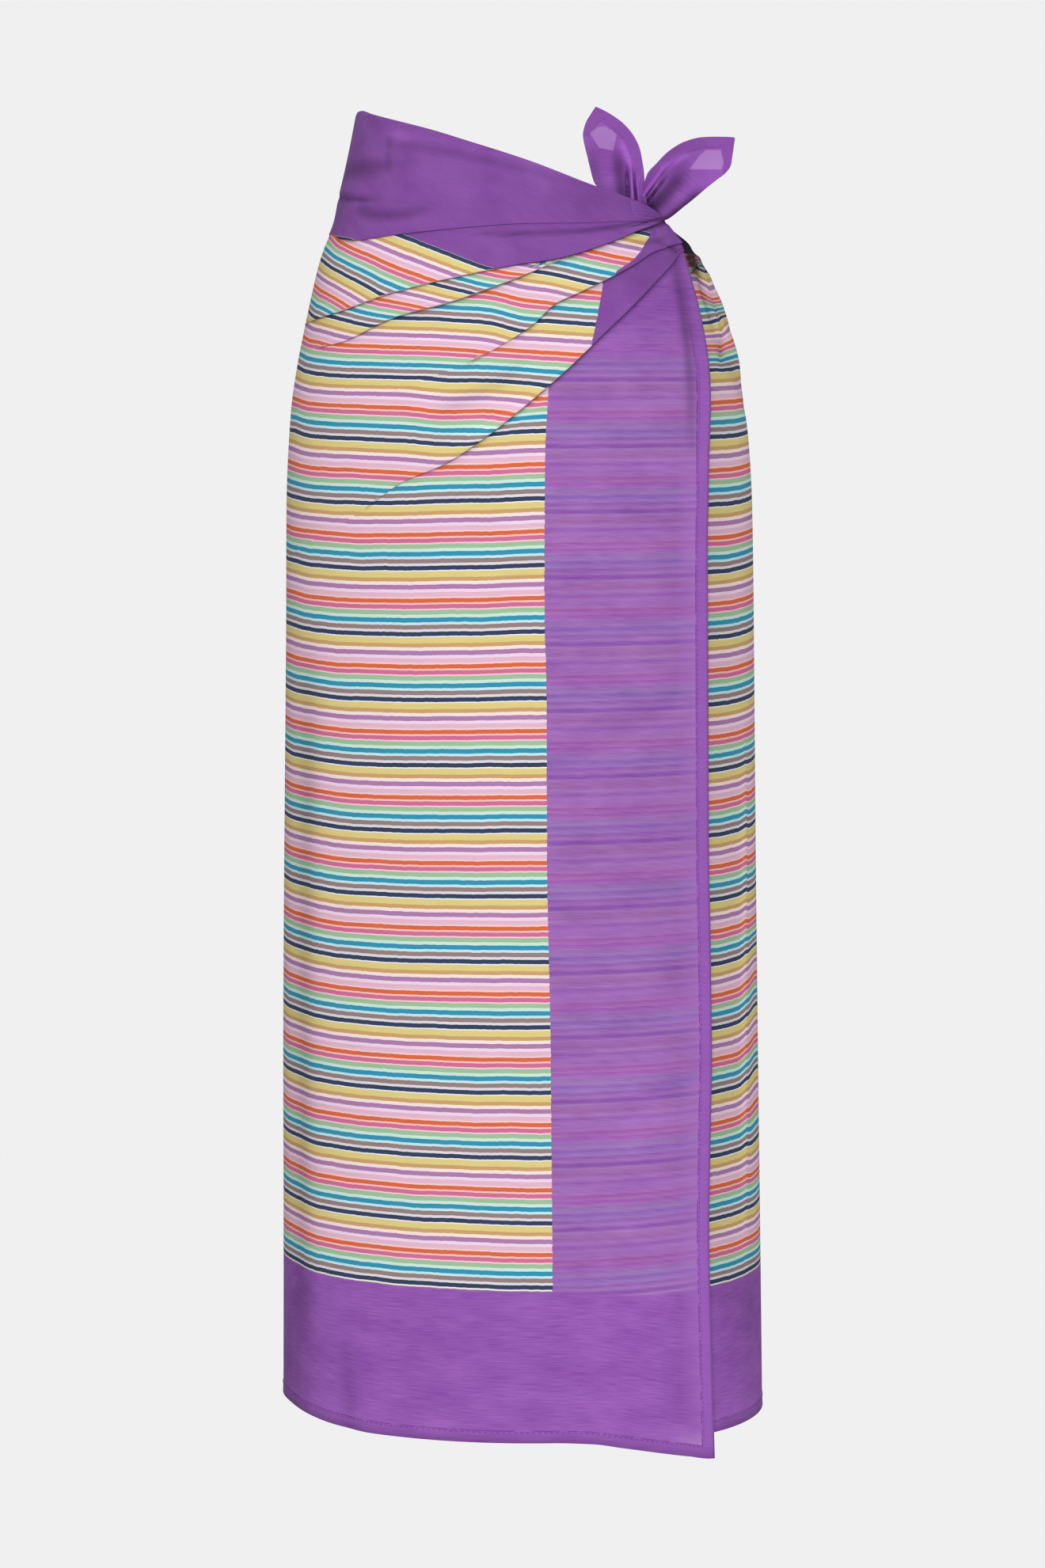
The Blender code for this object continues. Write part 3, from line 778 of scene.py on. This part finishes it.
def pleat_rise(pleats, x, z):
    """The pleats at an ear's root: how far they bring its front forward, in millimetres."""
    total = np.zeros_like(x)
    for pleat in pleats:
        run = np.array((pleat.far_x - pleat.x, pleat.far_z - pleat.z))
        share = ((x - pleat.x) * run[0] + (z - pleat.z) * run[1]) / (run @ run)
        inside = np.clip(share, 0, 1)
        distance = np.hypot(x - pleat.x - inside * run[0], z - pleat.z - inside * run[1])
        total += pleat.rise * np.exp(-((distance / pleat.width) ** 2)) * (1 - ease(0.55, 1.05, share))
    return total


def distance_from_line(x, z, line):
    """The least distance of points from a line of close points."""
    return np.min(np.hypot(x[..., None] - line[:, 0], z[..., None] - line[:, 1]), axis=-1)


def inside_patch(corners, x, z):
    """How far points lie inside a convex patch with its corners in clockwise order."""
    least = np.full_like(x, np.inf)
    for (x0, z0), (x1, z1) in zip(corners, corners[1:] + corners[:1]):
        length = math.hypot(x1 - x0, z1 - z0)
        least = np.minimum(least, ((x - x0) * (z1 - z0) - (z - z0) * (x1 - x0)) / length)
    return least


def build_ear(ear, material):
    """A corner of the cloth beyond the knot, folded in two, with its hems and its single patch."""
    along = np.linspace(0, 1, EAR_ROWS)
    last = len(ear.rows) - 1
    sides = [smooth(range(last + 1), values, along * last) for values in zip(*ear.rows)]
    fold_x, fold_z, hem_x, hem_z = [side[:, None] for side in sides]
    rear = -np.linspace(1, 0, EAR_BACK_COLUMNS, endpoint=False) ** CLOSER_BEHIND
    near = np.linspace(0, 1, EAR_FRONT_COLUMNS) ** CLOSER_IN_FRONT
    across = np.concatenate((rear, near))[None, :]
    share = np.where(across < 0, -across * REAR_SHARE, across)
    x = fold_x + (hem_x - fold_x) * share
    z = fold_z + (hem_z - fold_z) * share
    lengthwise = np.sin(math.pi * np.minimum(1, CUP_START + along))[:, None]
    cup = EAR_CUP * np.sin(math.pi * share) * lengthwise
    rise = pleat_rise(ear.pleats, x, z)
    rounded = np.sqrt(1 - (1 - np.minimum(1, share / EAR_FOLD_ROUND)) ** 2)
    gap = EAR_GAP * rounded * (1 - along[:, None] ** 6)
    hems = hemmed_sides(ear, sides)
    edge = distance_from_line(x, z, hems) * MM
    front = -rise * np.minimum(1, share / EAR_FOLD_ROUND) - hem_lift(edge, EAR_HEM)
    front = np.where(across < 0, gap, front)
    dive = ear.forward * (EAR_DIVE * (1 - ease(0, EAR_DIVE_UNTIL, along)) - 1)[:, None]
    y = EAR_PLACE[1] + EAR_SLOPE * (x - EAR_PLACE[0]) + cup + front + dive
    points = np.stack((x, y, z), axis=-1) * MM
    up = np.broadcast_to(along[:, None] * EAR_LENGTH, x.shape)
    patch = np.where(across < 0, -1.0, inside_patch(ear.patch, x, z) * MM)
    # Painted shade at the root, under the outer ear's fold and in the pleats' troughs, and painted light on
    # the pleats' ridges
    root = (1 - ease(0, ROOT_UNTIL, along))[:, None]
    under = (1 - ease(ROOT_UNTIL, UNDER_UNTIL, along))[:, None] * (ear.forward > 0)
    underside = under * np.exp(-((share / EAR_UNDER_REACH) ** 2))
    shade = -rise * EAR_PLEAT_SHADE + ROOT_SHADE * root + EAR_UNDERSIDE * underside
    layers = np.stack((np.clip(shade, *EAR_SHADES), patch), axis=-1)
    uvs = np.stack((edge, up), axis=-1)
    turned = ear.rows[3].hem_x > ear.rows[3].fold_x
    grids = [grid[::-1, ::-1] if turned else grid[::-1] for grid in (points, uvs, layers)]
    name = ear.node + "_cloth"
    return add_piece(name, sheet_mesh(name, *grids), material, THICKNESS, ear.node)


def hemmed_sides(ear, sides):
    """Close points along the hemmed sides of an ear: the long side, and the short one at its tip."""
    fold_x, fold_z, hem_x, hem_z = sides
    long_side = np.stack((hem_x, hem_z), axis=-1)
    first = round(ear.hemmed_from / (len(ear.rows) - 1) * (EAR_ROWS - 1))
    short_side = np.stack((fold_x[first:], fold_z[first:]), axis=-1)
    return fine_line(np.concatenate((long_side, short_side[::-1])))


def fine_line(corners):
    """A line with its points close together."""
    lengths = np.concatenate(([0], np.cumsum(np.hypot(*np.diff(corners, axis=0).T))))
    places = np.arange(0, lengths[-1], LINE_STEP)
    return np.stack([np.interp(places, lengths, corners[:, k]) for k in (0, 1)], axis=-1)


def side_hem_line():
    """Angles and heights of the stitching beside the free edge."""
    height = np.arange(SIDE_STITCHES[0], SIDE_STITCHES[1], -STITCH_PITCH / 2)
    near = column(FREE_EDGE, "angle", height)
    field = column(FIELD_STARTS[SKIRT], "angle", height)
    share = (HEM_WIDTH / MM - STITCH_INSET) * MM / BORDER
    sine = (1 - share) * np.sin(np.radians(near)) + share * np.sin(np.radians(field))
    return np.degrees(np.arcsin(sine)), height


def foot_hem_line():
    """Angles and heights of the stitching along the bottom hem."""
    angle = np.arange(FREE_EDGE[-1].angle - 1, UNDER_END + 2, -STITCH_PITCH / 2 * MM / METRES_PER_DEGREE)
    top, foot = line_height(SKIRT + 1, angle), line_height(SKIRT + 2, angle)
    whole = top + LEVEL_ZERO + column(FIELD_FOOT.slips, "below", angle)
    return angle, foot + (HEM_WIDTH / MM - STITCH_INSET) * (top - foot) / whole


def build_stitches(material):
    """Short stitches along the inner edge of the hems."""
    points, faces = [], []
    for angle, height in (side_hem_line(), foot_hem_line()):
        lift = resting_lift(angle, height) + HEM_RISE / MM
        line = figure_points(angle, height, lift)
        out = figure_points(angle, height, lift + 1) - line
        for k in range(1, len(line) - 1, 2):
            add_stitch(points, faces, line[k], line[k + 1] - line[k - 1], out[k])
    mesh = bpy.data.meshes.new("hem_stitches")
    mesh.from_pydata(points, [], faces)
    mesh.shade_smooth()
    return add_piece("hem_stitches", mesh, material, 0)


def add_stitch(points, faces, middle, run, out):
    """A stitch like a grain of rice: two ends and two rings of four points."""
    run = run / np.linalg.norm(run) * STITCH_LENGTH * MM / 2
    out = out / np.linalg.norm(out)
    wide = np.cross(run, out)
    wide = wide / np.linalg.norm(wide) * STITCH_WIDTH * MM / 2
    high = out * STITCH_RISE * MM
    first = len(points)
    points.append(tuple(middle - run))
    for share in (-0.55, 0.55):
        ring = (middle + run * share + side for side in (high, wide, -high, -wide))
        points.extend(tuple(point) for point in ring)
    points.append(tuple(middle + run))
    for k in range(4):
        after = (k + 1) % 4
        low, high_ring = first + 1, first + 5
        faces.append((first, low + after, low + k))
        faces.append((low + k, low + after, high_ring + after, high_ring + k))
        faces.append((first + 9, high_ring + k, high_ring + after))


def linear(colour):
    """A display colour, 0 to 255, as linear red, green, blue and alpha."""
    values = [c / 255 for c in colour]
    return [v / 12.92 if v <= 0.04045 else ((v + 0.055) / 1.055) ** 2.4 for v in values] + [1.0]


class Nodes:
    """Short ways to add nodes to a material's tree."""

    def __init__(self, tree):
        self.tree = tree

    def add(self, kind, inputs=(), **settings):
        made = self.tree.nodes.new(kind)
        for key, value in settings.items():
            setattr(made, key, value)
        for key, value in dict(inputs).items():
            self.put(made.inputs[key], value)
        return made

    def put(self, socket, value):
        if isinstance(value, bpy.types.NodeSocket):
            self.tree.links.new(value, socket)
        else:
            socket.default_value = value

    def math(self, operation, first, second=0.0, third=0.0):
        made = self.add("ShaderNodeMath", {0: first, 1: second, 2: third}, operation=operation)
        return made.outputs[0]

    def times(self, first, *others):
        for other in others:
            first = self.math("MULTIPLY", first, other)
        return first

    def plus(self, base, value, share):
        """A base and a share of a value."""
        return self.math("MULTIPLY_ADD", value, share, base)

    def one_minus(self, value):
        return self.math("SUBTRACT", 1.0, value)

    def mix(self, factor, first, second, blend="MIX"):
        inputs = {0: factor, 6: first, 7: second}
        return self.add("ShaderNodeMix", inputs, data_type="RGBA", blend_type=blend).outputs[2]

    def scaled(self, colour, share):
        """A colour with all its channels multiplied."""
        grey = self.add("ShaderNodeCombineColor", {0: share, 1: share, 2: share}).outputs[0]
        return self.mix(1.0, colour, grey, "MULTIPLY")

    def noise(self, u, v, scales, detail=2.0):
        """Noise on the cloth's own coordinates, stretched along either."""
        inputs = {0: self.times(u, scales[0]), 1: self.times(v, scales[1])}
        place = self.add("ShaderNodeCombineXYZ", inputs).outputs[0]
        inputs = {"Vector": place, "Scale": 1.0, "Detail": detail}
        return self.add("ShaderNodeTexNoise", inputs, noise_dimensions="2D").outputs["Fac"]

    def swing(self, u, v, scales, detail=2.0):
        """Noise about zero."""
        return self.math("SUBTRACT", self.noise(u, v, scales, detail), 0.5)

    def step(self, value, edge, soft):
        """0 below an edge and 1 above it."""
        inputs = {"Value": value, "From Min": edge - soft / 2, "From Max": edge + soft / 2}
        return self.add("ShaderNodeMapRange", inputs, clamp=True).outputs[0]

    def fading(self, value, low, high):
        """0 below an edge, 1 just above it, and fading out towards a higher one."""
        gone = self.step(value, (low + high) / 2, high - low)
        return self.math("SUBTRACT", self.step(value, low, 0.6 * MM), gone)

    def stripes(self, height, soft):
        """The stripe repeat at a height on the cut."""
        down = self.math("DIVIDE", self.math("SUBTRACT", FIRST_NAVY, height), REPEAT)
        place = self.math("FRACT", down)
        ramp = self.add("ShaderNodeValToRGB", {0: place})
        ramp.color_ramp.interpolation = "LINEAR" if soft else "CONSTANT"
        stops = ramp.color_ramp.elements
        whole = sum(stripe.width for stripe in STRIPES)
        start = 0.0
        for k, stripe in enumerate(STRIPES):
            stop = stops[k] if k < 2 else stops.new(0.999)
            stop.position = start / whole
            stop.color = linear(stripe.colour)
            start += stripe.width
        return ramp.outputs[0]


def cloth_coordinates(nodes):
    """Distance from the edge and height on the cut, and that height with the thread's own waviness."""
    place = nodes.add("ShaderNodeSeparateXYZ", {0: nodes.add("ShaderNodeUVMap", uv_map="cloth").outputs[0]})
    across, up = place.outputs[0], place.outputs[1]
    waved = nodes.plus(up, nodes.swing(across, up, SLOW), SLOW_WAVE)
    waved = nodes.plus(waved, nodes.swing(across, up, QUICK), QUICK_WAVE)
    return across, up, waved


def weave(nodes, across, up):
    """Fine threads both ways with slubs, as a height for the bump."""
    both = nodes.math("ADD", nodes.noise(across, up, WEFT, 1.0), nodes.noise(across, up, WARP, 1.0))
    return nodes.plus(both, nodes.noise(across, up, SLUBS), SLUB_SHARE)


def purple_cloth(nodes, across, up, streaked):
    """The plain border's colour: fine streaks along the weft and a slow unevenness."""
    strength = nodes.plus(1 - STREAKED, streaked, STREAKED)
    streaks = nodes.plus(0.5, nodes.swing(across, up, STREAKS, 3.0), strength)
    streaks = nodes.times(streaks, 1 - UNEVEN_SHARE)
    both = nodes.plus(streaks, nodes.noise(across, up, UNEVEN), UNEVEN_SHARE)
    share = nodes.step(both, 0.49, 0.38)
    return nodes.mix(share, linear(DEEP_PURPLE), linear(PURPLE))


def hem_tint(nodes, purple, edge, across, up, hem):
    """The turned hem in its own tone, the thin broken shadow of its seam, and the cloth beyond it."""
    side = nodes.one_minus(nodes.step(across, SIDE_REACH, SIDE_FADES))
    share = nodes.plus(BOTTOM_SHARE, side, 1 - BOTTOM_SHARE)
    strength = nodes.times(hem.strength, share)
    past = nodes.step(edge, hem.width, 0.5 * MM)
    turned = nodes.times(nodes.one_minus(past), strength, 0.6)
    purple = nodes.mix(turned, purple, linear(hem.tint))
    fades = nodes.one_minus(nodes.step(edge, hem.width + BEYOND_HEM, 2 * BEYOND_HEM))
    beyond = nodes.times(past, fades, strength, hem.beyond)
    purple = nodes.mix(beyond, purple, linear(LIGHT_PURPLE))
    off = nodes.math("ABSOLUTE", nodes.math("SUBTRACT", edge, hem.width))
    seam = nodes.one_minus(nodes.step(off, 0.45 * MM, 0.5 * MM))
    broken = nodes.step(nodes.noise(across, up, SEAM_GAPS), 0.42, 0.2)
    shadow = nodes.times(seam, broken, hem.seam, hem.strength)
    return nodes.mix(shadow, purple, linear(STITCH_PURPLE))


def shaded(nodes, colour, shade):
    """A colour darkened by painted shade, and lightened by painted light where the shade is below 0."""
    return nodes.scaled(colour, nodes.one_minus(nodes.times(shade, SHADE_DEPTH)))


def finish_cloth(nodes, colour, height):
    """The shader: matt cotton with a little sheen, and the weave as bump."""
    shader = nodes.tree.nodes["Principled BSDF"]
    nodes.put(shader.inputs["Base Color"], colour)
    for name, value in COTTON.items():
        shader.inputs[name].default_value = value
    inputs = {"Strength": BUMP_STRENGTH, "Distance": BUMP_HEIGHT, "Height": height}
    nodes.put(shader.inputs["Normal"], nodes.add("ShaderNodeBump", inputs).outputs[0])


def shade_and_layer_values(nodes):
    """The second coordinates of the cloth: its painted shade, which is painted light below 0, and the layer
    below.
    """
    place = nodes.add("ShaderNodeUVMap", uv_map="layers").outputs[0]
    split = nodes.add("ShaderNodeSeparateXYZ", {0: place})
    return split.outputs[0], split.outputs[1]


def new_material(name):
    """A material and the nodes to build it with."""
    material = bpy.data.materials.new(name)
    material.use_nodes = True
    return material, Nodes(material.node_tree)


def striped_field(nodes, across, up, waved):
    """Where the field is, with the ragged side of a woven pattern, and its streaky stripes."""
    ragged = nodes.plus(across, nodes.swing(across, up, RAGGED), RAGGED_SIDE)
    field = nodes.times(nodes.step(ragged, BORDER, CRISP), nodes.step(waved, FIELD_LOW, CRISP))
    field = nodes.math("SUBTRACT", field, nodes.step(waved, FIELD_HIGH, CRISP))
    streaks = nodes.noise(across, up, FIELD_STREAKS)
    tone = nodes.add("ShaderNodeMapRange", {"Value": streaks, "To Min": 0.9, "To Max": 1.08})
    striped = nodes.scaled(nodes.stripes(waved, False), tone.outputs[0])
    return nodes.math("MAXIMUM", field, 0.0), striped


def show_through(nodes, purple, across, up, below, hanging):
    """The stripes of the layer below, faint and patchy on the single cloth beside the free edge."""
    seen = nodes.times(nodes.step(across, HEM_WIDTH, 0.6 * MM), nodes.step(below, FIELD_LOW, 3 * MM))
    seen = nodes.times(seen, hanging, nodes.step(up, FIELD_LOW, 3 * MM))
    seen = nodes.times(seen, nodes.one_minus(nodes.step(below, GHOST_TOP, GHOST_FADES)))
    patchy = nodes.noise(across, below, PATCHY)
    seen = nodes.times(seen, nodes.plus(GHOST_SHARE / 2, patchy, GHOST_SHARE))
    return nodes.mix(seen, purple, nodes.stripes(below, True))


def wound_material():
    """Striped field and plain border in one cloth, with the layer below showing faintly through."""
    material, nodes = new_material("striped_and_plain_voile")
    across, up, waved = cloth_coordinates(nodes)
    shade, below = shade_and_layer_values(nodes)
    hanging = nodes.step(below, -0.5, 0.1)
    purple = purple_cloth(nodes, across, up, hanging)
    purple = show_through(nodes, purple, across, up, below, hanging)
    shown = nodes.times(hanging, nodes.one_minus(nodes.step(up, SIDE_HEM_TOP, SIDE_HEM_FADES)))
    hem = Hem(HEM_WIDTH, HEM_PURPLE, 0.34, 0.6, shown)
    purple = hem_tint(nodes, purple, nodes.math("MINIMUM", across, up), across, up, hem)
    tip = nodes.times(nodes.fading(across, *TIP_ACROSS), nodes.fading(up, *TIP_UP), SINGLE_SHARE)
    purple = nodes.mix(tip, purple, linear(PALE_PURPLE))
    purple = shaded(nodes, purple, nodes.times(nodes.one_minus(hanging), GATHERED_SHADE))
    field, striped = striped_field(nodes, across, up, waved)
    colour = shaded(nodes, nodes.mix(field, purple, striped), shade)
    finish_cloth(nodes, colour, weave(nodes, across, up))
    return material


def plain_material():
    """The plain border where it is knotted and stands up in ears, paler where it lies single."""
    material, nodes = new_material("plain_voile")
    across, up, _ = cloth_coordinates(nodes)
    shade, patch = shade_and_layer_values(nodes)
    purple = purple_cloth(nodes, across, up, 0.4)
    hem = Hem(EAR_HEM, EAR_HEM_PURPLE, 0.1, 0.3, 1.0)
    purple = hem_tint(nodes, purple, across, across, up, hem)
    single = nodes.times(nodes.step(patch, 0.0, 1.2 * MM), SINGLE_SHARE)
    purple = nodes.mix(single, purple, linear(PALE_PURPLE))
    finish_cloth(nodes, shaded(nodes, purple, shade), weave(nodes, across, up))
    return material


def stitch_material():
    """Sewing thread, a little darker than the border."""
    material, nodes = new_material("sewing_thread")
    place = nodes.add("ShaderNodeTexCoord").outputs["Object"]
    mottle = nodes.add("ShaderNodeTexNoise", {"Vector": place, "Scale": 400.0}).outputs["Fac"]
    colour = nodes.mix(mottle, linear(STITCH_PURPLE), linear(DEEP_PURPLE))
    finish_cloth(nodes, colour, mottle)
    return material


def as_seen(nodes, output, seen, lit):
    """One shader for the camera, and another for the light that reaches the cloth."""
    path = nodes.add("ShaderNodeLightPath").outputs["Is Camera Ray"]
    both = nodes.add("ShaderNodeMixShader", {0: path, 1: lit.outputs[0], 2: seen.outputs[0]})
    nodes.put(nodes.tree.nodes[output].inputs[0], both.outputs[0])


def build_stage():
    """A plain pale floor with no edge in sight."""
    bpy.ops.mesh.primitive_plane_add(size=FLOOR_SIZE, location=(0, 0, FLOOR_HEIGHT))
    floor = bpy.context.object
    floor.name = "floor"
    material, nodes = new_material("pale_floor")
    seen = nodes.add("ShaderNodeEmission", {"Color": BACKGROUND})
    lit = nodes.add("ShaderNodeEmission", {"Color": (1, 1, 1, 1), "Strength": FLOOR_LIGHT})
    as_seen(nodes, "Material Output", seen, lit)
    floor.data.materials.append(material)


def build_light():
    """Even light all round, and one wide soft light from the front."""
    world = bpy.data.worlds.new("studio")
    scene.world = world
    world.use_nodes = True
    nodes = Nodes(world.node_tree)
    seen = nodes.tree.nodes["Background"]
    seen.inputs["Color"].default_value = BACKGROUND
    lit = nodes.add("ShaderNodeBackground", {"Color": (1, 1, 1, 1), "Strength": WORLD_LIGHT})
    as_seen(nodes, "World Output", seen, lit)
    sun = bpy.data.lights.new("key", "SUN")
    sun.energy = KEY_LIGHT
    sun.angle = math.radians(KEY_SOFTNESS)
    key = bpy.data.objects.new("key", sun)
    key.rotation_euler = (math.radians(KEY_TILT), 0, 0)
    scene.collection.objects.link(key)
    scene.view_settings.view_transform = "Standard"


def build_camera():
    """The photograph's viewpoint."""
    lens = bpy.data.cameras.new("camera")
    lens.lens = CAMERA_LENS
    camera = bpy.data.objects.new("camera", lens)
    camera.location = CAMERA_PLACE
    camera.rotation_euler = (math.radians(90 - CAMERA_TILT), 0, 0)
    scene.collection.objects.link(camera)
    scene.camera = camera


collection = bpy.data.collections.new("wrap_skirt")
scene.collection.children.link(collection)
build_camera()
build_light()
build_stage()
plain = plain_material()
cloth = build_cloth(wound_material())
knot = build_knot(plain)
ears = [build_ear(ear, plain) for ear in (INNER_EAR, OUTER_EAR)]
stitches = build_stitches(stitch_material())
